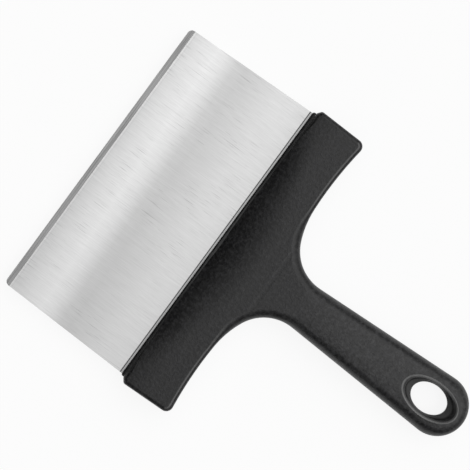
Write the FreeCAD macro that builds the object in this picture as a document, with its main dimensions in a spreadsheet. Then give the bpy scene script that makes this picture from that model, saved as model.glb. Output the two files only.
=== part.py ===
import FreeCAD, Part
import math
import os

import Sketcher

# A wide griddle scraper: a flat stainless steel blade with its root buried in a one-piece
# black nylon handle. It lies flat, +X runs along the grip and +Z is up. Everything is drawn
# about the blade's middle plane, with x = 0 at the front of the handle's lip, and then both
# pieces are lifted and centred together. Millimetres and degrees.

# Every driving size, once.
SIZES = {
    # blade: how far it stands out of the lip, its widths and its sheet
    "blade_reach": 70.1,
    "blade_width": 152.4,
    "edge_width": 148.8,
    "blade_thickness": 1.2,
    "blade_corner_radius": 2.4,
    "root_depth": 20.0,
    # ground bevel on the upper face, and the thin flat left at the cutting edge
    "bevel_length": 2.8,
    "edge_flat": 0.5,
    # holes in the root that the plastic flows through, the outer two in from the blade's sides
    "lock_hole_diameter": 8.0,
    "lock_hole_margin": 16.2,
    "lock_hole_count": 5,
    "lock_hole_station": 12.5,
    # coined line across the blade, just in front of the lip
    "coin_gap": 1.0,
    "coin_width": 0.5,
    "coin_depth": 0.12,
    # lip that the blade comes out of
    "lip_depth": 1.6,
    "lip_width": 153.6,
    "lip_thickness": 5.2,
    "lip_round": 1.0,
    # bar across the blade: its ends taper a little and its front corners are cut off
    "bar_width": 158.1,
    "bar_end_taper": 1.68,
    "corner_cut_length": 1.8,
    "corner_cut_width": 2.4,
    "corner_cut_round": 1.6,
    "bar_corner_radius": 3.5,
    # hollow back of the bar and the armpit down to the neck, as tangent arcs
    "waist_station": 27.25,
    "waist_offset": 50.4,
    "arm_radius": 186.0,
    "arm_turn": 3.14,
    "armpit_radius": 45.5,
    "neck_radius": 21.2,
    "neck_width": 22.5,
    # grip: straight sides that spread towards its round end
    "end_width": 29.9,
    "handle_reach": 143.8,
    # side profile: flat bar and neck, and a tail that bends over and gets thinner
    "handle_thickness": 16.0,
    "tail_station": 64.0,
    "tail_bend_radius": 298.0,
    "tail_fall": 2.0,
    # rounded edges round the outline: tight round the bar, fuller round the grip
    "bar_round": 2.2,
    "grip_round": 4.6,
    # dished slope on the front of the bar, above and below, swept out past the bar's two ends
    "scoop_reach": 22.5,
    "scoop_radius": 42.0,
    "scoop_sweep": 155.0,
    "scoop_turn": 90.0,
    # faint hollow line across the neck
    "mark_station": 31.2,
    "mark_width": 2.6,
    "mark_depth": 0.07,
    "mark_length": 34.0,
    # oval hanging hole: throat in the middle, rim at the faces, and a dished wall between
    "hole_station": 124.0,
    "throat_length": 19.0,
    "throat_width": 14.0,
    "throat_height": 1.6,
    "dish_length": 26.0,
    "dish_width": 16.4,
    "dish_height": 3.3,
    "rim_length": 30.0,
    "rim_width": 18.2,
    "rim_rise": 1.2,
}

# Cutters, and blanks that are trimmed later, are this many times as large as what they cross.
OVERREACH = 1.2
# Places less than this far apart, in millimetres, are the same place.
SAME_PLACE = 0.001
# A face stands up like a wall where the upward part of its unit normal is less than this.
WALL_RISE = 0.1

doc = FreeCAD.newDocument("scraper")
sheet = doc.addObject("Spreadsheet::Sheet", "Sizes")
for number, (alias, value) in enumerate(SIZES.items(), start=1):
    sheet.set(f"A{number}", alias)
    sheet.set(f"B{number}", str(value))
    sheet.setAlias(f"B{number}", alias)
doc.recompute()


def size(alias):
    """The value of a driving size, as the sheet holds it."""
    return float(sheet.get(alias))


def point(x, y):
    """A point of a sketch."""
    return FreeCAD.Vector(x, y, 0)


def start_sketch(body, name, role):
    """An empty sketch on one of the body's own origin planes."""
    sketch = body.newObject("Sketcher::SketchObject", name)
    plane = [item for item in body.Origin.OriginFeatures if item.Role == role][0]
    sketch.AttachmentSupport = [(plane, "")]
    sketch.MapMode = "FlatFace"
    return sketch


def bind(sketch, name, expression, kind, *where):
    """A dimension of the sketch that follows the sheet."""
    value = sketch.evalExpression(expression)
    if kind == "Angle":
        value = math.radians(float(value.Value))
    index = sketch.addConstraint(Sketcher.Constraint(kind, *where, float(value)))
    sketch.renameConstraint(index, name)
    sketch.setExpression(f"Constraints.{name}", expression)


def place(sketch, name, edge, end, across, up):
    """Hold one end of an edge at a distance from the sketch's origin; a minus sign turns it round."""
    for axis, expression in (("DistanceX", across), ("DistanceY", up)):
        if expression == "0":
            axis_line = -2 if axis == "DistanceX" else -1
            sketch.addConstraint(Sketcher.Constraint("PointOnObject", edge, end, axis_line))
        elif expression.startswith("-"):
            bind(sketch, name + axis[-1], expression[1:], axis, edge, end, -1, 1)
        elif expression:
            bind(sketch, name + axis[-1], expression, axis, -1, 1, edge, end)


def add_line(sketch, start, end):
    """A straight edge from start to end."""
    return sketch.addGeometry(Part.LineSegment(point(*start), point(*end)), False)


def add_arc(sketch, centre, start, end):
    """The arc about centre that runs counter-clockwise from start to end."""
    angles = [math.atan2(y - centre[1], x - centre[0]) for x, y in (start, end)]
    if angles[1] <= angles[0]:
        angles[1] += 2 * math.pi
    circle = Part.Circle(point(*centre), FreeCAD.Vector(0, 0, 1), math.dist(centre, start))
    return sketch.addGeometry(Part.ArcOfCircle(circle, *angles), False)


def add_polygon(sketch, name, corners):
    """A closed polygon; each corner is a pair of expressions for its place in the sketch."""
    places = [[float(sketch.evalExpression(part)) for part in corner] for corner in corners]
    edges = [add_line(sketch, places[i - 1], places[i]) for i in range(len(places))]
    for i, edge in enumerate(edges):
        sketch.addConstraint(Sketcher.Constraint("Coincident", edges[i - 1], 2, edge, 1))
        place(sketch, f"{name}{i}", edge, 2, *corners[i])


def along(start, angle, distance):
    """The point at a distance from start in the direction of an angle in radians."""
    return start[0] + distance * math.cos(angle), start[1] + distance * math.sin(angle)


def towards(start, end, distance):
    """The point at a distance from start on the way to end."""
    return along(start, math.atan2(end[1] - start[1], end[0] - start[0]), distance)


def meeting_point(start, angle, centre, radius):
    """The first point of the line from start, at an angle in radians, that lies on a circle."""
    off_x, off_y = start[0] - centre[0], start[1] - centre[1]
    past_foot = off_x * math.cos(angle) + off_y * math.sin(angle)
    outside = off_x ** 2 + off_y ** 2 - radius ** 2
    return along(start, angle, -past_foot - math.sqrt(past_foot ** 2 - outside))


def mirrored(place_xy, sign):
    """The point itself for a sign of 1, and its mirror image across the sketch's x axis for -1."""
    return place_xy[0], sign * place_xy[1]


def pad_both_ways(body, name, sketch, length):
    """A pad that reaches as far above the sketch as below it."""
    pad = body.newObject("PartDesign::Pad", name)
    pad.Profile = sketch
    pad.SideType = "Symmetric"
    pad.setExpression("Length", length)
    return pad


def pocket_both_ways(body, name, sketch, length):
    """A pocket that reaches as far above the sketch as below it."""
    pocket = body.newObject("PartDesign::Pocket", name)
    pocket.Profile = sketch
    pocket.SideType = "Symmetric"
    pocket.setExpression("Length", length)
    return pocket


# The two sides of a sketch that is its own mirror image: name, sign, and what goes before an
# expression to give it the side's own sign or the other one.
LEFT_AND_RIGHT = (("left", 1, "", "-"), ("right", -1, "-", ""))
UPPER_AND_LOWER = (("upper", 1, "", "-"), ("lower", -1, "-", ""))

# Both finished pieces are lifted and centred by the same amounts.
CENTRE_X = "(Sizes.blade_reach - Sizes.handle_reach) / 2"
LIFT = "Sizes.handle_thickness / 2"


def set_down(piece):
    """Bring a piece from the drawing's origin to the middle of the footprint, on the ground."""
    piece.setExpression(".Placement.Base.x", CENTRE_X)
    piece.setExpression(".Placement.Base.z", LIFT)


# Blade: a flat sheet that widens a little from the cutting edge to the lip.
blade = doc.addObject("PartDesign::Body", "blade")
blade.Label = "blade"
sketch = start_sketch(blade, "blade_outline", "XY_Plane")
reach = size("blade_reach")
root = size("root_depth")
half_lip = size("blade_width") / 2
half_edge = size("edge_width") / 2
corner = size("blade_corner_radius")
lean = math.atan2(half_lip - half_edge, reach)
corner_y = half_edge - corner * math.tan(math.pi / 4 - lean / 2)
edge_line = add_line(sketch, (-reach, -corner_y), (-reach, corner_y))
root_line = add_line(sketch, (root, -half_lip), (root, half_lip))
sketch.addConstraint(Sketcher.Constraint("Vertical", edge_line))
for side, sign, same, other in LEFT_AND_RIGHT:
    centre = (corner - reach, sign * corner_y)
    tangent = (centre[0] - corner * math.sin(lean), sign * (corner_y + corner * math.cos(lean)))
    tip = (-reach, sign * corner_y)
    arc = add_arc(sketch, centre, *((tangent, tip) if sign > 0 else (tip, tangent)))
    arc_tip, arc_tangent = (2, 1) if sign > 0 else (1, 2)
    edge_end = 2 if sign > 0 else 1
    flank = add_line(sketch, tangent, (0, sign * half_lip))
    tang = add_line(sketch, (0, sign * half_lip), (root, sign * half_lip))
    sketch.addConstraint(Sketcher.Constraint("Tangent", edge_line, edge_end, arc, arc_tip))
    sketch.addConstraint(Sketcher.Constraint("Tangent", arc, arc_tangent, flank, 1))
    sketch.addConstraint(Sketcher.Constraint("Coincident", flank, 2, tang, 1))
    sketch.addConstraint(Sketcher.Constraint("Coincident", tang, 2, root_line, edge_end))
    bind(sketch, f"{side}_corner", "Sizes.blade_corner_radius", "Radius", arc)
    place(sketch, f"{side}_lip", flank, 2, "0", same + "Sizes.blade_width / 2")
    place(sketch, f"{side}_root", tang, 2, "Sizes.root_depth", same + "Sizes.blade_width / 2")
    bind(sketch, f"{side}_lean",
         same + "atan2(Sizes.blade_width / 2 - Sizes.edge_width / 2; Sizes.blade_reach)",
         "Angle", flank)
bind(sketch, "reach", "Sizes.blade_reach", "DistanceX", edge_line, 1, -1, 1)
pad_both_ways(blade, "sheet", sketch, "Sizes.blade_thickness")

# Bevel ground right across the upper face, down to the thin flat of the cutting edge.
sketch = start_sketch(blade, "bevel_section", "XZ_Plane")
add_polygon(sketch, "bevel", (
    ("-Sizes.blade_reach", "-(Sizes.blade_thickness / 2 - Sizes.edge_flat)"),
    ("-(Sizes.blade_reach - Sizes.bevel_length)", "Sizes.blade_thickness / 2"),
    ("-Sizes.blade_reach", "Sizes.blade_thickness / 2"),
))
pocket_both_ways(blade, "bevel", sketch, f"Sizes.blade_width * {OVERREACH}")

# Coined line just in front of the lip, on both faces.
sketch = start_sketch(blade, "coined_section", "XZ_Plane")
for face, sign, same, other in UPPER_AND_LOWER:
    add_polygon(sketch, face, [
        (x, f"{same}(Sizes.blade_thickness / 2 - {depth})") for x, depth in (
            ("-Sizes.coin_gap", "Sizes.coin_depth"),
            ("-Sizes.coin_gap", "0"),
            ("-(Sizes.coin_gap + Sizes.coin_width)", "0"),
            ("-(Sizes.coin_gap + Sizes.coin_width)", "Sizes.coin_depth"),
        )
    ])
pocket_both_ways(blade, "coined_line", sketch, f"Sizes.blade_width * {OVERREACH}")

# Row of holes in the root, which the plastic fills and locks.
sketch = start_sketch(blade, "lock_hole_outline", "XY_Plane")
first_y = size("lock_hole_margin") - half_lip
hole = sketch.addGeometry(Part.Circle(point(size("lock_hole_station"), first_y),
                                      FreeCAD.Vector(0, 0, 1), size("lock_hole_diameter") / 2), False)
bind(sketch, "diameter", "Sizes.lock_hole_diameter", "Diameter", hole)
place(sketch, "hole", hole, 3, "Sizes.lock_hole_station",
      "-(Sizes.blade_width / 2 - Sizes.lock_hole_margin)")
lock_hole = pocket_both_ways(blade, "lock_hole", sketch, f"Sizes.blade_thickness * {OVERREACH}")
row = blade.newObject("PartDesign::LinearPattern", "lock_holes")
row.Originals = [lock_hole]
y_axis = [item for item in blade.Origin.OriginFeatures if item.Role == "Y_Axis"][0]
row.Direction = (y_axis, [""])
row.setExpression("Length", "Sizes.blade_width - 2 * Sizes.lock_hole_margin")
row.setExpression("Occurrences", "Sizes.lock_hole_count")
blade.Tip = row
set_down(blade)
doc.recompute()

# Handle outline seen from above. Each side is a chain of tangent arcs from the bar's end to
# the grip's round end; the centres are worked out here and the sketch's own constraints hold them.
neck_y = size("neck_width") / 2 + size("neck_radius")
turn = math.radians(size("arm_turn"))
taper = math.radians(size("bar_end_taper"))
end_radius = size("end_width") / 2
end_centre = (size("handle_reach") - end_radius, 0.0)
arm_centre = (size("waist_station") + size("arm_radius"), size("waist_offset"))
arm_joint = along(arm_centre, math.pi + turn, size("arm_radius"))
armpit_centre = along(arm_joint, turn, size("armpit_radius"))
drop = armpit_centre[1] - neck_y
neck_centre = (armpit_centre[0] - math.sqrt((size("armpit_radius") - size("neck_radius")) ** 2
                                            - drop ** 2), neck_y)
neck_joint = towards(armpit_centre, neck_centre, size("armpit_radius"))
# the grip's straight side passes under the neck arc and over the end arc
slant = math.atan2(end_centre[1] - neck_centre[1], end_centre[0] - neck_centre[0])
spread = slant + math.asin((size("neck_radius") + end_radius) / math.dist(neck_centre, end_centre))
grip_joint = along(neck_centre, spread - math.pi / 2, size("neck_radius"))
end_joint = along(end_centre, spread + math.pi / 2, end_radius)
# the bar's rear corner touches its tapered end and the hollow back
front_corner = (size("lip_depth"), size("bar_width") / 2 - size("corner_cut_width"))
side_corner = (size("lip_depth") + size("corner_cut_length"), size("bar_width") / 2)
rear = size("bar_corner_radius")
inner = along(side_corner, -taper - math.pi / 2, rear)
rear_centre = meeting_point(inner, -taper, arm_centre, size("arm_radius") + rear)
rear_joint = along(rear_centre, math.pi / 2 - taper, rear)
back_joint = towards(rear_centre, arm_centre, rear)

plan = doc.addObject("PartDesign::Body", "handle_plan")
sketch = start_sketch(plan, "handle_outline", "XY_Plane")
front = add_line(sketch, (front_corner[0], -front_corner[1]), front_corner)
end_arc = add_arc(sketch, end_centre, (end_joint[0], -end_joint[1]), end_joint)
for side, sign, same, other in LEFT_AND_RIGHT:
    cut = add_line(sketch, mirrored(front_corner, sign), mirrored(side_corner, sign))
    flank = add_line(sketch, mirrored(side_corner, sign), mirrored(rear_joint, sign))
    # each edge of the chain with the numbers of its first and its last end
    chain = [(flank, (1, 2))]
    for centre, start, end, turns_left in (
            (rear_centre, rear_joint, back_joint, False),
            (arm_centre, back_joint, arm_joint, True),
            (armpit_centre, arm_joint, neck_joint, True),
            (neck_centre, neck_joint, grip_joint, True)):
        forwards = turns_left == (sign > 0)
        ends = (start, end) if forwards else (end, start)
        arc = add_arc(sketch, mirrored(centre, sign), *(mirrored(place_xy, sign) for place_xy in ends))
        chain.append((arc, (1, 2) if forwards else (2, 1)))
    chain.append((add_line(sketch, mirrored(grip_joint, sign), mirrored(end_joint, sign)), (1, 2)))
    chain.append((end_arc, (2, 1) if sign > 0 else (1, 2)))
    sketch.addConstraint(Sketcher.Constraint("Coincident", front, 2 if sign > 0 else 1, cut, 1))
    sketch.addConstraint(Sketcher.Constraint("Coincident", cut, 2, flank, 1))
    for (edge, ends), (next_edge, next_ends) in zip(chain, chain[1:]):
        sketch.addConstraint(Sketcher.Constraint("Tangent", edge, ends[1], next_edge, next_ends[0]))
    rear_arc, arm_arc, armpit_arc, neck_arc = [edge for edge, ends in chain[1:5]]
    for edge, alias in ((rear_arc, "bar_corner_radius"), (arm_arc, "arm_radius"),
                        (armpit_arc, "armpit_radius"), (neck_arc, "neck_radius")):
        bind(sketch, f"{side}_{alias}", f"Sizes.{alias}", "Radius", edge)
    place(sketch, f"{side}_front", cut, 1, "Sizes.lip_depth",
          same + "(Sizes.bar_width / 2 - Sizes.corner_cut_width)")
    place(sketch, f"{side}_side", cut, 2, "Sizes.lip_depth + Sizes.corner_cut_length",
          same + "Sizes.bar_width / 2")
    bind(sketch, f"{side}_taper", other + "Sizes.bar_end_taper * 1 deg", "Angle", flank)
    place(sketch, f"{side}_arm", arm_arc, 3, "Sizes.waist_station + Sizes.arm_radius",
          same + "Sizes.waist_offset")
    place(sketch, f"{side}_turn", arm_arc, chain[2][1][1], "",
          same + "(Sizes.waist_offset - Sizes.arm_radius * sin(Sizes.arm_turn * 1 deg))")
    place(sketch, f"{side}_neck", neck_arc, 3, "", same + "(Sizes.neck_width / 2 + Sizes.neck_radius)")
bind(sketch, "end_radius", "Sizes.end_width / 2", "Radius", end_arc)
place(sketch, "end", end_arc, 3, "Sizes.handle_reach - Sizes.end_width / 2", "0")
plan_pad = pad_both_ways(plan, "plan_pad", sketch, f"Sizes.handle_thickness * {OVERREACH}")
doc.recompute()


def edges_where(shape, test):
    """The names of the shape's edges that pass a test on their middle point."""
    names = []
    for number, edge in enumerate(shape.Edges, start=1):
        middle = edge.valueAt((edge.FirstParameter + edge.LastParameter) / 2)
        if test(edge, middle):
            names.append(f"Edge{number}")
    return names


def stands_up(edge, middle):
    """True for the upright edges at the bar's cut-off front corners."""
    return abs(middle.z) < SAME_PLACE and middle.x < side_corner[0] + SAME_PLACE


corner_rounds = plan.newObject("PartDesign::Fillet", "corner_rounds")
corner_rounds.Base = (plan_pad, edges_where(plan_pad.Shape, stands_up))
corner_rounds.setExpression("Radius", "Sizes.corner_cut_round")

# Handle seen from the side, the same above and below: flat bar and neck, then the falling tail.
profile = doc.addObject("PartDesign::Body", "handle_profile")
sketch = start_sketch(profile, "profile_outline", "XZ_Plane")
top = size("handle_thickness") / 2
tail = math.radians(size("tail_fall"))
bend_start = (size("tail_station"), top)
bend_centre = (size("tail_station"), top - size("tail_bend_radius"))
bend_end = along(bend_centre, math.pi / 2 - tail, size("tail_bend_radius"))
# the profile runs past the outline at both ends, which the plan then trims
before = -size("lip_depth")
past = size("handle_reach") + size("end_width") / 2
tail_end = (past, bend_end[1] - (past - bend_end[0]) * math.tan(tail))
front = add_line(sketch, (before, -top), (before, top))
back = add_line(sketch, (past, -tail_end[1]), tail_end)
sketch.addConstraint(Sketcher.Constraint("Vertical", back))
for face, sign, same, other in UPPER_AND_LOWER:
    land = add_line(sketch, mirrored((before, top), sign), mirrored(bend_start, sign))
    tail_line = add_line(sketch, mirrored(bend_end, sign), mirrored(tail_end, sign))
    ends = (bend_end, bend_start) if sign > 0 else (bend_start, bend_end)
    bend = add_arc(sketch, mirrored(bend_centre, sign), *(mirrored(place_xy, sign) for place_xy in ends))
    bend_first, bend_last = (2, 1) if sign > 0 else (1, 2)
    sketch.addConstraint(Sketcher.Constraint("Horizontal", land))
    for joint in (("Coincident", front, 2 if sign > 0 else 1, land, 1),
                  ("Tangent", land, 2, bend, bend_first),
                  ("Tangent", bend, bend_last, tail_line, 1),
                  ("Coincident", tail_line, 2, back, 2 if sign > 0 else 1)):
        sketch.addConstraint(Sketcher.Constraint(*joint))
    place(sketch, f"{face}_front", land, 1, "-Sizes.lip_depth", same + "Sizes.handle_thickness / 2")
    bind(sketch, f"{face}_bend", "Sizes.tail_bend_radius", "Radius", bend)
    place(sketch, f"{face}_bend_at", bend, 3, "Sizes.tail_station", "")
    bind(sketch, f"{face}_tail", other + "Sizes.tail_fall * 1 deg", "Angle", tail_line)
bind(sketch, "past", "Sizes.handle_reach + Sizes.end_width / 2", "DistanceX", -1, 1, back, 1)
pad_both_ways(profile, "profile_pad", sketch, f"Sizes.bar_width * {OVERREACH}")
doc.recompute()

# Solid where both outlines agree.
blank = doc.addObject("Part::Common", "handle_blank")
blank.Base = plan
blank.Tool = profile
doc.recompute()


def rim_edges(shape):
    """Numbers and middles of the edges between an upright wall and the face above or below it."""
    found = []
    for number, edge in enumerate(shape.Edges, start=1):
        middle = edge.valueAt((edge.FirstParameter + edge.LastParameter) / 2)
        walls = 0
        for face in shape.Faces:
            if any(edge.isSame(other) for other in face.Edges):
                walls += abs(face.normalAt(*face.Surface.parameter(middle)).z) < WALL_RISE
        if walls == 1:
            found.append((number, middle))
    return found


def rounded_rim(shape):
    """The rim's edges with their radii; round the armpits the rounding grows from one to the other."""
    keys = []
    for number, middle in rim_edges(shape):
        if middle.x < side_corner[0] or abs(middle.y) > arm_joint[1]:
            keys.append((number, size("bar_round"), size("bar_round")))
        elif middle.x > neck_joint[0]:
            keys.append((number, size("grip_round"), size("grip_round")))
    return keys


rounded = doc.addObject("Part::Fillet", "handle_rounded")
rounded.Base = blank
rounded.Edges = rounded_rim(blank.Shape)
doc.recompute()

# Moulding: the rounded blank with its slopes, its lip and its hanging hole.
moulding = doc.addObject("PartDesign::Body", "moulding")
moulding.BaseFeature = rounded
doc.recompute()

# Dished slope down to the lip, above and below: an arc swept round an upright axis far in front
# of the bar, so that it is deepest in the middle and leaves the bar's two ends flat.
sketch = start_sketch(moulding, "scoop_section", "XZ_Plane")
axis_x = size("scoop_reach") - size("scoop_sweep")
axis_line = sketch.addGeometry(Part.LineSegment(point(axis_x, -top), point(axis_x, top)), True)
sketch.addConstraint(Sketcher.Constraint("Vertical", axis_line))
place(sketch, "axis", axis_line, 1, "-(Sizes.scoop_sweep - Sizes.scoop_reach)",
      "-Sizes.handle_thickness / 2")
bind(sketch, "axis_length", "Sizes.handle_thickness", "DistanceY", axis_line, 1, axis_line, 2)
scoop_centre = (size("scoop_reach"), top - size("scoop_radius"))
low = (before, scoop_centre[1] + math.sqrt(size("scoop_radius") ** 2
                                           - (size("scoop_reach") - before) ** 2))
high = (size("scoop_reach"), top)
over = top * OVERREACH
for face, sign, same, other in UPPER_AND_LOWER:
    corners = [mirrored(corner, sign) for corner in (low, high, (high[0], over), (before, over))]
    slope_ends = (corners[1], corners[0]) if sign > 0 else (corners[0], corners[1])
    slope = add_arc(sketch, mirrored(scoop_centre, sign), *slope_ends)
    high_end, low_end = (1, 2) if sign > 0 else (2, 1)
    back_line = add_line(sketch, corners[1], corners[2])
    over_line = add_line(sketch, corners[2], corners[3])
    front_line = add_line(sketch, corners[3], corners[0])
    for joint in (("Coincident", slope, high_end, back_line, 1),
                  ("Coincident", back_line, 2, over_line, 1),
                  ("Coincident", over_line, 2, front_line, 1),
                  ("Coincident", front_line, 2, slope, low_end),
                  ("Vertical", back_line), ("Horizontal", over_line), ("Vertical", front_line)):
        sketch.addConstraint(Sketcher.Constraint(*joint))
    bind(sketch, f"{face}_radius", "Sizes.scoop_radius", "Radius", slope)
    place(sketch, f"{face}_centre", slope, 3, "Sizes.scoop_reach",
          other + "(Sizes.scoop_radius - Sizes.handle_thickness / 2)")
    place(sketch, f"{face}_high", slope, high_end, "Sizes.scoop_reach", "")
    place(sketch, f"{face}_over", over_line, 2, "-Sizes.lip_depth",
          f"{same}Sizes.handle_thickness / 2 * {OVERREACH}")
scoops = moulding.newObject("PartDesign::Groove", "scoops")
scoops.Profile = sketch
scoops.ReferenceAxis = (sketch, ["Axis0"])
scoops.Midplane = True
scoops.setExpression("Angle", "Sizes.scoop_turn")
doc.recompute()

# Lip round the blade, along the whole front of the bar.
sketch = start_sketch(moulding, "lip_outline", "XY_Plane")
add_polygon(sketch, "lip", (
    ("0", "-Sizes.lip_width / 2"),
    ("Sizes.lip_depth + Sizes.corner_cut_length", "-Sizes.lip_width / 2"),
    ("Sizes.lip_depth + Sizes.corner_cut_length", "Sizes.lip_width / 2"),
    ("0", "Sizes.lip_width / 2"),
))
lip = pad_both_ways(moulding, "lip", sketch, "Sizes.lip_thickness")
doc.recompute()


def in_front(edge, middle):
    """True for the edges of the lip's front face."""
    return abs(middle.x) < SAME_PLACE


lip_rounds = moulding.newObject("PartDesign::Fillet", "lip_rounds")
lip_rounds.Base = (lip, edges_where(lip.Shape, in_front))
lip_rounds.setExpression("Radius", "Sizes.lip_round")
doc.recompute()

# Faint hollow line across the root of the neck, above and below.
MARK_RADIUS = "(Sizes.mark_width ^ 2 / 4 + Sizes.mark_depth ^ 2) / (2 * Sizes.mark_depth)"
sketch = start_sketch(moulding, "mark_section", "XZ_Plane")
mark_radius = float(sketch.evalExpression(MARK_RADIUS))
for face, sign, same, other in UPPER_AND_LOWER:
    height = f"{same}(Sizes.handle_thickness / 2 + {MARK_RADIUS} - Sizes.mark_depth)"
    centre = point(size("mark_station"), float(sketch.evalExpression(height)))
    ring = sketch.addGeometry(Part.Circle(centre, FreeCAD.Vector(0, 0, 1), mark_radius), False)
    bind(sketch, f"{face}_radius", MARK_RADIUS, "Radius", ring)
    place(sketch, f"{face}_centre", ring, 3, "Sizes.mark_station", height)
pocket_both_ways(moulding, "marks", sketch, "Sizes.mark_length")
doc.recompute()

# Hanging hole: an oval throat in the middle and a dished wall out to a wider rim on each face.
RIM_HEIGHT = ("Sizes.handle_thickness / 2"
              " - Sizes.tail_bend_radius * (1 - cos(Sizes.tail_fall * 1 deg))"
              " - (Sizes.hole_station - Sizes.tail_station"
              " - Sizes.tail_bend_radius * sin(Sizes.tail_fall * 1 deg)) * tan(Sizes.tail_fall * 1 deg)")
RUN_OUT = f"Sizes.rim_rise / ({RIM_HEIGHT} - Sizes.dish_height)"


def oval(name, length, width, height):
    """A sketch of an oval about the hole's centre at a height above the middle plane."""
    sketch = start_sketch(moulding, name, "XY_Plane")
    half_length = float(sketch.evalExpression(length)) / 2
    half_width = float(sketch.evalExpression(width)) / 2
    middle = size("hole_station")
    ellipse = sketch.addGeometry(Part.Ellipse(point(middle + half_length, 0),
                                              point(middle, half_width), point(middle, 0)), False)
    sketch.exposeInternalGeometry(ellipse)
    long_axis, short_axis = ellipse + 1, ellipse + 2
    bind(sketch, "length", length, "Distance", long_axis)
    bind(sketch, "width", width, "Distance", short_axis)
    sketch.addConstraint(Sketcher.Constraint("Horizontal", long_axis))
    place(sketch, "centre", ellipse, 3, "Sizes.hole_station", "0")
    sketch.setExpression(".AttachmentOffset.Base.z", height)
    return sketch


throat_sketch = oval("throat_outline", "Sizes.throat_length", "Sizes.throat_width", "0")
pocket_both_ways(moulding, "throat", throat_sketch, "Sizes.throat_height")
doc.recompute()
wall = moulding.newObject("PartDesign::SubtractiveLoft", "dished_wall")
wall.Profile = oval("throat_edge", "Sizes.throat_length", "Sizes.throat_width", "Sizes.throat_height / 2")
wall.Ruled = True
wall.Sections = [
    oval("dish_outline", "Sizes.dish_length", "Sizes.dish_width", "Sizes.dish_height"),
    oval("run_out", f"Sizes.rim_length + (Sizes.rim_length - Sizes.dish_length) * {RUN_OUT}",
         f"Sizes.rim_width + (Sizes.rim_width - Sizes.dish_width) * {RUN_OUT}",
         f"{RIM_HEIGHT} + Sizes.rim_rise"),
]
doc.recompute()
both_walls = moulding.newObject("PartDesign::Mirrored", "both_walls")
both_walls.Originals = [wall]
xy_plane = [item for item in moulding.Origin.OriginFeatures if item.Role == "XY_Plane"][0]
both_walls.MirrorPlane = (xy_plane, [""])
moulding.Tip = both_walls
set_down(moulding)
doc.recompute()

# Handle: the moulding with the blade's own space cut out of it, so that it fills the lock holes.
handle = doc.addObject("Part::Cut", "handle")
handle.Label = "handle"
handle.Base = moulding
handle.Tool = blade
doc.recompute()

# Stop on any feature that failed and on any piece that isn't one sound solid.
for item in doc.Objects:
    if "Invalid" in item.State or "Error" in item.State:
        raise RuntimeError(f"{item.Name} failed")
pieces = (blade, handle)
for piece in pieces:
    shape = piece.Shape
    if shape.isNull() or not shape.isValid() or len(shape.Solids) != 1:
        raise RuntimeError(f"{piece.Label} is not one valid solid")

os.makedirs("parts", exist_ok=True)
for piece in pieces:
    piece.Shape.exportStep(f"parts/{piece.Label}.step")
    box = piece.Shape.optimalBoundingBox()
    print(piece.Label, f"volume {piece.Shape.Volume:.1f} mm3, box {box}")
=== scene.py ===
import math

import bpy
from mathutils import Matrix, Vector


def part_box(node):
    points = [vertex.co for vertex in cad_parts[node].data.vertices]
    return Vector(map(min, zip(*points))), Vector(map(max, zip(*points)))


# A wide griddle scraper: a brushed stainless steel blade moulded into a black nylon handle.
# It lies flat, its cutting edge to -X and its grip along +X, in metres.
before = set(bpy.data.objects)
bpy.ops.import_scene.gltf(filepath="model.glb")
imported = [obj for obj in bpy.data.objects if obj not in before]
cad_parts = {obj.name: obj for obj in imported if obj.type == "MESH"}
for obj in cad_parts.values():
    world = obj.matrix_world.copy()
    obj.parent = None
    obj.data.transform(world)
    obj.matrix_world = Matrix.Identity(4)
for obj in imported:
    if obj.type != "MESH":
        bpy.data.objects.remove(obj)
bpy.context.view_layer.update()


# Blade: one stainless steel sheet, rolled and then brushed from the cutting edge to the handle.
# Its upper face is ground down to the cutting edge, and a line is coined across it close to the lip.
# Its root is buried in the handle.
def linear(hex_colour):
    """The linear colour of an sRGB hex value."""
    parts = [int(hex_colour[i:i + 2], 16) / 255 for i in (1, 3, 5)]
    return [c / 12.92 if c <= 0.04045 else ((c + 0.055) / 1.055) ** 2.4 for c in parts] + [1.0]


def new_material(name):
    """A node material with no nodes yet."""
    material = bpy.data.materials.new(name)
    material.use_nodes = True
    material.node_tree.nodes.clear()
    return material


def add(tree, kind, settings=None, **links):
    """Add one node: settings are its properties, and links its inputs, as values or other sockets.

    An input goes by its name, or where several share a name by in_ and its number.
    """
    node = tree.nodes.new("ShaderNode" + kind)
    for name, value in (settings or {}).items():
        setattr(node, name, value)
    for name, value in links.items():
        socket = node.inputs[int(name[3:]) if name.startswith("in_") else name.replace("_", " ")]
        if isinstance(value, bpy.types.NodeSocket):
            tree.links.new(value, socket)
        else:
            socket.default_value = value
    return node


MM = 0.001
EDGE_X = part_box("blade")[0].x
LIP_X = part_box("handle")[0].x
BEVEL_LENGTH = 2.8 * MM
COINED_FROM = LIP_X - 1.35 * MM
COINED_TO = LIP_X - 0.8 * MM
LINE_BLUR = 0.08 * MM

# Brushed 18/8 stainless sheet. A belt has drawn fine straight scratches along it, which pull each
# reflection out across them. Soft light and dark bands of painted reflection lie across the sheet,
# and the coined line is painted a dull grey, as painted shade in its groove.
brushed_steel = new_material("brushed_stainless_sheet")
tree = brushed_steel.node_tree
place = add(tree, "TexCoord").outputs["Object"]
face_z = add(tree, "SeparateXYZ", Vector=add(tree, "TexCoord").outputs["Normal"]).outputs["Z"]

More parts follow.
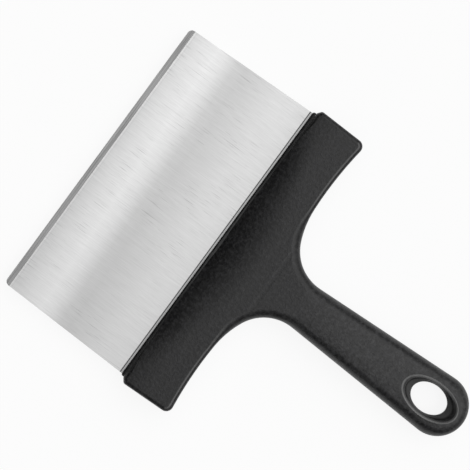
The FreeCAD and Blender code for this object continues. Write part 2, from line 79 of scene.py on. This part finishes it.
# scratches 12 mm long and 0.1 mm wide, drawn 0.5 mm wide so that they show
SCRATCH_LENGTH, SCRATCH_WIDTH = 12 * MM, 0.5 * MM
scratch_place = add(tree, "Mapping", Vector=place,
                    Scale=(1 / SCRATCH_LENGTH, 1 / SCRATCH_WIDTH, 1 / SCRATCH_WIDTH))
scratches = add(tree, "TexNoise", Vector=scratch_place.outputs["Vector"], Scale=1.0,
                Detail=3.0, Roughness=0.6)
shine = add(tree, "MapRange", Value=scratches.outputs["Fac"], From_Min=0.25, From_Max=0.75,
            To_Min=0.92, To_Max=1.06)
# deeper cuts by single coarse grains, 11 mm long, drawn 0.45 mm wide, in patches 25 mm across
CUT_LENGTH, CUT_WIDTH = 11 * MM, 0.45 * MM
PATCH_SIZE = 25 * MM
cut_place = add(tree, "Mapping", Vector=place, Scale=(1 / CUT_LENGTH, 1 / CUT_WIDTH, 1 / CUT_WIDTH))
cuts = add(tree, "TexNoise", Vector=cut_place.outputs["Vector"], Scale=1.0, Detail=3.0)
patches = add(tree, "TexNoise", Vector=place, Scale=1 / PATCH_SIZE, Detail=1.0)
cut_floor = add(tree, "MapRange", Value=patches.outputs["Fac"], From_Min=0.40, From_Max=0.60,
                To_Min=0.92, To_Max=0.66)
cut_shine = add(tree, "MapRange", Value=cuts.outputs["Fac"], From_Min=0.25, From_Max=0.40,
                To_Min=cut_floor.outputs["Result"], To_Max=1.0)
brushed_shine = add(tree, "Math", {"operation": "MULTIPLY"}, in_0=shine.outputs["Result"],
                    in_1=cut_shine.outputs["Result"])

# painted reflection: two light bands across the sheet, 40 mm apart, turned a little against the edge
BAND_TILT = math.radians(-1.75)
BAND_REACH = 70 * MM
band_place = add(tree, "Mapping", Vector=place, Rotation=(0, 0, BAND_TILT))
along = add(tree, "SeparateXYZ", Vector=band_place.outputs["Vector"]).outputs["X"]
band_share = add(tree, "MapRange", Value=along, From_Min=EDGE_X, From_Max=EDGE_X + BAND_REACH)
painted_reflection_bands = add(tree, "ValToRGB", Fac=band_share.outputs["Result"])
tones = painted_reflection_bands.color_ramp.elements
tones[0].color = linear("#CCCCCC")
tones[1].color = linear("#CCCCCC")
for station, tone in ((0.06, "#CFCFCF"), (0.16, "#DCDCDC"), (0.27, "#E4E4E4"), (0.34, "#DDDDDD"),
                      (0.43, "#C8C8C8"), (0.50, "#C4C4C4"), (0.62, "#CACACA"), (0.78, "#D2D2D2"),
                      (0.90, "#D2D2D2")):
    tones.new(station).color = linear(tone)
streaked = add(tree, "VectorMath", {"operation": "SCALE"}, in_0=painted_reflection_bands.outputs["Color"],
               Scale=brushed_shine.outputs["Value"])

# behind the bevel, a painted highlight: a bright line where the crease catches the light, then a duller
# line of painted shade
CREASE_HIGHLIGHT_REACH = 2.4 * MM
position_x = add(tree, "SeparateXYZ", Vector=place).outputs["X"]
crease_highlight_share = add(tree, "MapRange", Value=position_x, From_Min=EDGE_X + BEVEL_LENGTH,
                    From_Max=EDGE_X + BEVEL_LENGTH + CREASE_HIGHLIGHT_REACH)
painted_crease_highlight = add(tree, "ValToRGB", Fac=crease_highlight_share.outputs["Result"])
shades = painted_crease_highlight.color_ramp.elements
shades[0].color = linear("#FFFFFF")
shades[1].color = linear("#F6F6F6")
for station, shade in ((0.22, "#FFFFFF"), (0.45, "#EDEDED"), (0.62, "#F6F6F6")):
    shades.new(station).color = linear(shade)
crease_highlighted = add(tree, "VectorMath", {"operation": "MULTIPLY"}, in_0=streaked.outputs["Vector"],
                in_1=painted_crease_highlight.outputs["Color"])

# the coined line, painted dark as the shade in its groove between two soft borders, and the strip
# behind it painted darker as the lip's shadow
line_start = add(tree, "MapRange", Value=position_x, From_Min=COINED_FROM - LINE_BLUR,
                 From_Max=COINED_FROM + LINE_BLUR)
line_stop = add(tree, "MapRange", Value=position_x, From_Min=COINED_TO + LINE_BLUR,
                From_Max=COINED_TO - LINE_BLUR)
line_shade_share = add(tree, "Math", {"operation": "MULTIPLY"}, in_0=line_start.outputs["Result"],
              in_1=line_stop.outputs["Result"])
lip_shadow_share = add(tree, "MapRange", Value=position_x, From_Min=COINED_TO - LINE_BLUR,
               From_Max=COINED_TO + LINE_BLUR)
lip_shadowed = add(tree, "Mix", {"data_type": "RGBA"}, in_0=lip_shadow_share.outputs["Result"],
               in_6=crease_highlighted.outputs["Vector"], in_7=linear("#A0A0A0"))
upper_colour = add(tree, "Mix", {"data_type": "RGBA"}, in_0=line_shade_share.outputs["Value"],
                   in_6=lip_shadowed.outputs[2], in_7=linear("#4A4A4A"))

# the lower face has none of these but the painted reflection bands: plain brushed sheet right to the
# edge
lower_face = add(tree, "MapRange", Value=face_z, From_Min=0.1, From_Max=-0.1)
brushed_colour = add(tree, "Mix", {"data_type": "RGBA"}, in_0=lower_face.outputs["Result"],
                     in_6=upper_colour.outputs[2], in_7=streaked.outputs["Vector"])
brushed_dullness = add(tree, "MapRange", Value=cuts.outputs["Fac"], To_Min=0.40, To_Max=0.30)

# the bevel is ground on a stone along the edge: duller, with scratches 0.4 mm apart and 25 mm long
# that run the other way
GRIND_SPACING, GRIND_LENGTH = 0.4 * MM, 25 * MM
GROUND_DULLNESS = 0.42
grind_place = add(tree, "Mapping", Vector=place,
                  Scale=(1 / GRIND_SPACING, 1 / GRIND_LENGTH, 1 / GRIND_SPACING))
grinding = add(tree, "TexNoise", Vector=grind_place.outputs["Vector"], Scale=1.0, Detail=3.0)
ground_tone = add(tree, "ValToRGB", Fac=grinding.outputs["Fac"])
ground_tone.color_ramp.elements[0].position = 0.3
ground_tone.color_ramp.elements[1].position = 0.7
ground_tone.color_ramp.elements[0].color = linear("#C8C8C8")
ground_tone.color_ramp.elements[1].color = linear("#FFFFFF")
behind_bevel = add(tree, "MapRange", Value=position_x, From_Min=EDGE_X + BEVEL_LENGTH - LINE_BLUR,
                   From_Max=EDGE_X + BEVEL_LENGTH + LINE_BLUR)
brushed = add(tree, "Math", {"operation": "MAXIMUM"}, in_0=behind_bevel.outputs["Result"],
              in_1=lower_face.outputs["Result"])
finished_colour = add(tree, "Mix", {"data_type": "RGBA"}, in_0=brushed.outputs["Value"],
                      in_6=ground_tone.outputs["Color"], in_7=brushed_colour.outputs[2])
finished_dullness = add(tree, "Mix", in_0=brushed.outputs["Value"], in_2=GROUND_DULLNESS,
                        in_3=brushed_dullness.outputs["Result"])

GROOVE_DEPTH = 0.02 * MM
grooves = add(tree, "Bump", Height=scratches.outputs["Fac"], Strength=0.15, Distance=GROOVE_DEPTH)
across_scratches = add(tree, "CombineXYZ", Y=1.0)
steel = add(tree, "BsdfPrincipled", Metallic=1.0, Anisotropic=0.6,
            Base_Color=finished_colour.outputs[2], Roughness=finished_dullness.outputs[0],
            Normal=grooves.outputs["Normal"], Tangent=across_scratches.outputs["Vector"])
add(tree, "OutputMaterial", Surface=steel.outputs["BSDF"])

for face_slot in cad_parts["blade"].material_slots:
    face_slot.material = brushed_steel

# Handle: one injection moulding of black glass-filled nylon, cast round the blade's root: the wide
# bar, the neck and the grip with its flared hanging hole.
# Black nylon from a spark-eroded mould: a fine pebbled texture that breaks the light up into a soft
# satin sheen, with glass fibres near the skin that leave it faintly cloudy.
moulded_nylon = new_material("moulded_black_nylon")
tree = moulded_nylon.node_tree
place = add(tree, "TexCoord").outputs["Object"]
at = add(tree, "SeparateXYZ", Vector=place).outputs
turned_up = add(tree, "SeparateXYZ", Vector=add(tree, "TexCoord").outputs["Normal"]).outputs
# pebbles 0.1 mm across, drawn 1.6 mm across so that they show
PEBBLE_SIZE, PEBBLE_DEPTH = 1.6 * MM, 0.14 * MM
pebbles = add(tree, "TexNoise", Vector=place, Scale=1 / PEBBLE_SIZE, Detail=3.0, Roughness=0.65)
# clouds 4 mm across
CLOUD_SIZE = 4 * MM
clouds = add(tree, "TexNoise", Vector=place, Scale=1 / CLOUD_SIZE, Detail=2.0)

# both faces of the grip fall away to its sides, by about 1.5 mm, which only this relief shows
CROWN = 1.5 * MM
CROWN_POWER = 3.0
NECK_X, HOLE_X = 12 * MM, 87 * MM
NECK_HALF, END_HALF = 11.2 * MM, 14.9 * MM
GRIP_STARTS, GRIP_FULL = 8 * MM, 18 * MM
half_width = add(tree, "MapRange", Value=at["X"], From_Min=NECK_X, From_Max=HOLE_X,
                 To_Min=NECK_HALF, To_Max=END_HALF)
share_out = add(tree, "Math", {"operation": "DIVIDE"}, in_0=at["Y"], in_1=half_width.outputs["Result"])
share_either_way = add(tree, "Math", {"operation": "ABSOLUTE"}, in_0=share_out.outputs["Value"])
fall = add(tree, "Math", {"operation": "POWER"}, in_0=share_either_way.outputs["Value"],
           in_1=CROWN_POWER)
on_grip = add(tree, "MapRange", {"interpolation_type": "SMOOTHSTEP"}, Value=at["X"],
              From_Min=GRIP_STARTS, From_Max=GRIP_FULL)
crown_fall = add(tree, "Math", {"operation": "MULTIPLY"}, in_0=fall.outputs["Value"],
                 in_1=on_grip.outputs["Result"])
crown = add(tree, "Bump", {"invert": True}, Height=crown_fall.outputs["Value"], Strength=1.0,
            Distance=CROWN)

# the dish behind the lip runs on to both ends of the bar, shallower, which only this relief shows
DISH = 1.5 * MM
DISH_REACH = 15 * MM
DISH_POWER = 2.0
DISH_FROM_Y, DISH_TO_Y = 26 * MM, 46 * MM
near_lip = add(tree, "MapRange", Value=at["X"], From_Min=LIP_X + DISH_REACH, From_Max=LIP_X)
dish_depth = add(tree, "Math", {"operation": "POWER"}, in_0=near_lip.outputs["Result"], in_1=DISH_POWER)
from_middle = add(tree, "Math", {"operation": "ABSOLUTE"}, in_0=at["Y"])
near_ends = add(tree, "MapRange", {"interpolation_type": "SMOOTHSTEP"},
                Value=from_middle.outputs["Value"], From_Min=DISH_FROM_Y, From_Max=DISH_TO_Y)
dish_fall = add(tree, "Math", {"operation": "MULTIPLY"}, in_0=dish_depth.outputs["Value"],
                in_1=near_ends.outputs["Result"])
dish = add(tree, "Bump", {"invert": True}, Height=dish_fall.outputs["Value"], Strength=1.0,
           Distance=DISH, Normal=crown.outputs["Normal"])
pebble_relief = add(tree, "Bump", Height=pebbles.outputs["Fac"], Strength=1.0,
                    Distance=PEBBLE_DEPTH, Normal=dish.outputs["Normal"])

# pale dust of glass fibre ends in the skin
dust = add(tree, "ValToRGB", Fac=pebbles.outputs["Fac"])
dust.color_ramp.elements[0].position = 0.42
dust.color_ramp.elements[1].position = 0.74
dust.color_ramp.elements[0].color = linear("#030304")
dust.color_ramp.elements[1].color = linear("#262627")

# hands have brought out more of it on the grip, in specks 2 mm across
SPECK_SIZE = 2 * MM
specks = add(tree, "TexNoise", Vector=place, Scale=1 / SPECK_SIZE, Detail=4.0, Roughness=0.7)
speck_share = add(tree, "MapRange", Value=specks.outputs["Fac"], From_Min=0.46, From_Max=0.72)
grip_specks = add(tree, "Math", {"operation": "MULTIPLY"}, in_0=speck_share.outputs["Result"],
                  in_1=on_grip.outputs["Result"])
handled = add(tree, "Mix", {"data_type": "RGBA"}, in_0=grip_specks.outputs["Value"],
              in_6=dust.outputs["Color"], in_7=linear("#343435"))

# painted light in the hanging hole: its flare painted paler where light reaches it, and a painted
# highlight in a thin line round its rim
RIM_HALF_LENGTH, RIM_HALF_WIDTH = 14.9 * MM, 9.0 * MM
HOLE_LIGHT_REACH = 1.1
from_hole = add(tree, "Mapping", {"vector_type": "TEXTURE"}, Vector=place, Location=(HOLE_X, 0, 0),
                Scale=(HOLE_LIGHT_REACH * RIM_HALF_LENGTH, HOLE_LIGHT_REACH * RIM_HALF_WIDTH, 1))
flat_place = add(tree, "VectorMath", {"operation": "MULTIPLY"}, in_0=from_hole.outputs["Vector"],
                 in_1=(1, 1, 0))
out_share = add(tree, "VectorMath", {"operation": "LENGTH"}, in_0=flat_place.outputs["Vector"])
painted_hole_light = add(tree, "ValToRGB", Fac=out_share.outputs["Value"])
hole_light_tones = painted_hole_light.color_ramp.elements
hole_light_tones[0].color = linear("#424242")
hole_light_tones[1].color = linear("#000000")
for station, tone in ((0.725, "#424242"), (0.78, "#000000"), (0.85, "#000000"), (0.88, "#686868"),
                      (0.915, "#686868"), (0.945, "#000000")):
    hole_light_tones.new(station).color = linear(tone)
hole_lit = add(tree, "VectorMath", {"operation": "MAXIMUM"}, in_0=handled.outputs[2],
             in_1=painted_hole_light.outputs["Color"])

# towards both ends of the bar, a painted highlight lies along the rounding on its back, where it starts
painted_edge_highlight = add(tree, "ValToRGB", Fac=turned_up["Z"])
edge_highlight_tones = painted_edge_highlight.color_ramp.elements
edge_highlight_tones[0].color = linear("#000000")
edge_highlight_tones[1].color = linear("#000000")
for station, tone in ((0.86, "#000000"), (0.93, "#484848"), (0.99, "#484848"), (0.999, "#000000")):
    edge_highlight_tones.new(station).color = linear(tone)
faces_back = add(tree, "MapRange", Value=turned_up["X"], From_Min=0.03, From_Max=0.08)
edge_highlight_share = add(tree, "Math", {"operation": "MULTIPLY"}, in_0=faces_back.outputs["Result"],
                 in_1=near_ends.outputs["Result"])
back_edge_highlight = add(tree, "VectorMath", {"operation": "SCALE"}, in_0=painted_edge_highlight.outputs["Color"],
               Scale=edge_highlight_share.outputs["Value"])
# the skin's colour, with the painted light in the hole and the painted highlight on the back edge
skin = add(tree, "VectorMath", {"operation": "MAXIMUM"}, in_0=hole_lit.outputs["Vector"],
           in_1=back_edge_highlight.outputs["Vector"])

# duller in the clouds, and on the tops of the pebbles
cloud_dullness = add(tree, "MapRange", Value=clouds.outputs["Fac"], From_Min=0.3, From_Max=0.7,
                     To_Min=0.36, To_Max=0.41)
pebble_dullness = add(tree, "MapRange", Value=pebbles.outputs["Fac"], From_Min=0.3, From_Max=0.7,
                      To_Min=-0.04, To_Max=0.04)
satin = add(tree, "Math", {"operation": "ADD"}, in_0=cloud_dullness.outputs["Result"],
            in_1=pebble_dullness.outputs["Result"])
nylon = add(tree, "BsdfPrincipled", Base_Color=skin.outputs["Vector"], IOR=1.43,
            Roughness=satin.outputs["Value"], Normal=pebble_relief.outputs["Normal"])
add(tree, "OutputMaterial", Surface=nylon.outputs["BSDF"])

for face_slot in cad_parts["handle"].material_slots:
    face_slot.material = moulded_nylon

# Floor: a wide sheet of white card that the scraper lies on. It isn't part of the object.
# White matt card. To the camera, and in reflections and through clear things, most of it is a plain
# white glow, and the rest takes the object's shadow.
GLOW_SHARE = 0.88
white_card = new_material("white_card")
tree = white_card.node_tree
ray = add(tree, "LightPath").outputs
seen = add(tree, "Math", {"operation": "ADD"}, in_0=ray["Is Camera Ray"], in_1=ray["Is Glossy Ray"])
shown = add(tree, "Math", {"operation": "ADD", "use_clamp": True}, in_0=seen.outputs["Value"],
            in_1=ray["Is Transmission Ray"])
glow_share = add(tree, "Math", {"operation": "MULTIPLY"}, in_0=shown.outputs["Value"], in_1=GLOW_SHARE)
matt = add(tree, "BsdfDiffuse", Color=linear("#FBFBFB"))
glow = add(tree, "Emission", Color=linear("#FFFFFF"), Strength=1.0)
card = add(tree, "MixShader", in_0=glow_share.outputs["Value"], in_1=matt.outputs["BSDF"],
           in_2=glow.outputs["Emission"])
# seen from below, the card is clear, so that the underside shows
from_below = add(tree, "MixShader", in_0=add(tree, "NewGeometry").outputs["Backfacing"],
                 in_1=card.outputs["Shader"], in_2=add(tree, "BsdfTransparent").outputs["BSDF"])
add(tree, "OutputMaterial", Surface=from_below.outputs["Shader"])

FLOOR_SIZE = 20.0
# a little below the object, because two faces in one plane would show through each other
FLOOR_GAP = 0.05 * MM
bpy.ops.mesh.primitive_plane_add(size=FLOOR_SIZE, location=(0, 0, -FLOOR_GAP))
floor = bpy.context.object
floor.name = "floor"
floor.data.materials.append(white_card)

# Light: a studio dome, bright overhead, and dim beyond the cutting edge, to both sides and near the
# floor. Its light on the floor, with the lamp's, comes to about 0.8.
DOME_TOP = 1.85
DOME_REST = 0.08
AHEAD_SHARE = 0.35
SIDE_SHARE = 0.12
LOW_SHARE = 0.5
world = bpy.data.worlds.new("studio_dome")
bpy.context.scene.world = world
world.use_nodes = True
tree = world.node_tree
tree.nodes.clear()
towards = add(tree, "SeparateXYZ", Vector=add(tree, "TexCoord").outputs["Generated"]).outputs
smooth = {"interpolation_type": "SMOOTHSTEP"}
behind = add(tree, "MapRange", smooth, Value=towards["X"], From_Min=-0.78, From_Max=0.08)
ahead = add(tree, "MapRange", smooth, Value=towards["X"], From_Min=1.0, From_Max=0.4,
            To_Min=AHEAD_SHARE)
both_ends = add(tree, "Math", {"operation": "MULTIPLY"}, in_0=behind.outputs["Result"],
                in_1=ahead.outputs["Result"])
left = add(tree, "MapRange", smooth, Value=towards["Y"], From_Min=-0.7, From_Max=0.45)
right = add(tree, "MapRange", smooth, Value=towards["Y"], From_Min=1.1, From_Max=0.5)
both_sides = add(tree, "Math", {"operation": "MULTIPLY"}, in_0=left.outputs["Result"],
                 in_1=right.outputs["Result"])
sides = add(tree, "MapRange", Value=both_sides.outputs["Value"], To_Min=SIDE_SHARE)
height = add(tree, "MapRange", smooth, Value=towards["Z"], From_Min=0.0, From_Max=0.6,
             To_Min=LOW_SHARE)
middle = add(tree, "Math", {"operation": "MULTIPLY"}, in_0=both_ends.outputs["Value"],
             in_1=sides.outputs["Result"])
shape = add(tree, "Math", {"operation": "MULTIPLY"}, in_0=middle.outputs["Value"],
            in_1=height.outputs["Result"])
strength = add(tree, "Math", {"operation": "MULTIPLY_ADD"}, in_0=shape.outputs["Value"],
               in_1=DOME_TOP, in_2=DOME_REST)
dome = add(tree, "Background", Color=linear("#FFFFFF"), Strength=strength.outputs["Value"])
add(tree, "OutputWorld", Surface=dome.outputs["Background"])

# a round soft lamp, tilted from overhead towards the grip's end
LAMP_SPREAD, LAMP_TILT = math.radians(14), math.radians(25)
LAMP_STRENGTH = 0.25
lamp_data = bpy.data.lights.new("soft_lamp", "SUN")
lamp_data.angle = LAMP_SPREAD
lamp_data.energy = LAMP_STRENGTH
lamp = bpy.data.objects.new("soft_lamp", lamp_data)
bpy.context.scene.collection.objects.link(lamp)
lamp.rotation_euler = (0, LAMP_TILT, 0)

# Camera: straight above, 0.8 m up, over the middle of the photograph's frame and turned as it shows
# the scraper. The frame is 222 mm wide at the height of the blade.
CAMERA_X, CAMERA_Y, CAMERA_HEIGHT = -32.35 * MM, 8.05 * MM, 800 * MM
CAMERA_TURN = math.radians(36.247)
VIEW_WIDTH = 222.2 * MM
BLADE_HEIGHT = 8 * MM
# in millimetres, as the camera's own settings are
SENSOR_WIDTH = 36
camera_data = bpy.data.cameras.new("camera")
camera_data.sensor_width = SENSOR_WIDTH
camera_data.lens = SENSOR_WIDTH * (CAMERA_HEIGHT - BLADE_HEIGHT) / VIEW_WIDTH
camera = bpy.data.objects.new("camera", camera_data)
bpy.context.scene.collection.objects.link(camera)
camera.location = (CAMERA_X, CAMERA_Y, CAMERA_HEIGHT)
camera.rotation_euler = (0, 0, CAMERA_TURN)
bpy.context.scene.camera = camera
bpy.context.scene.view_settings.view_transform = "Standard"
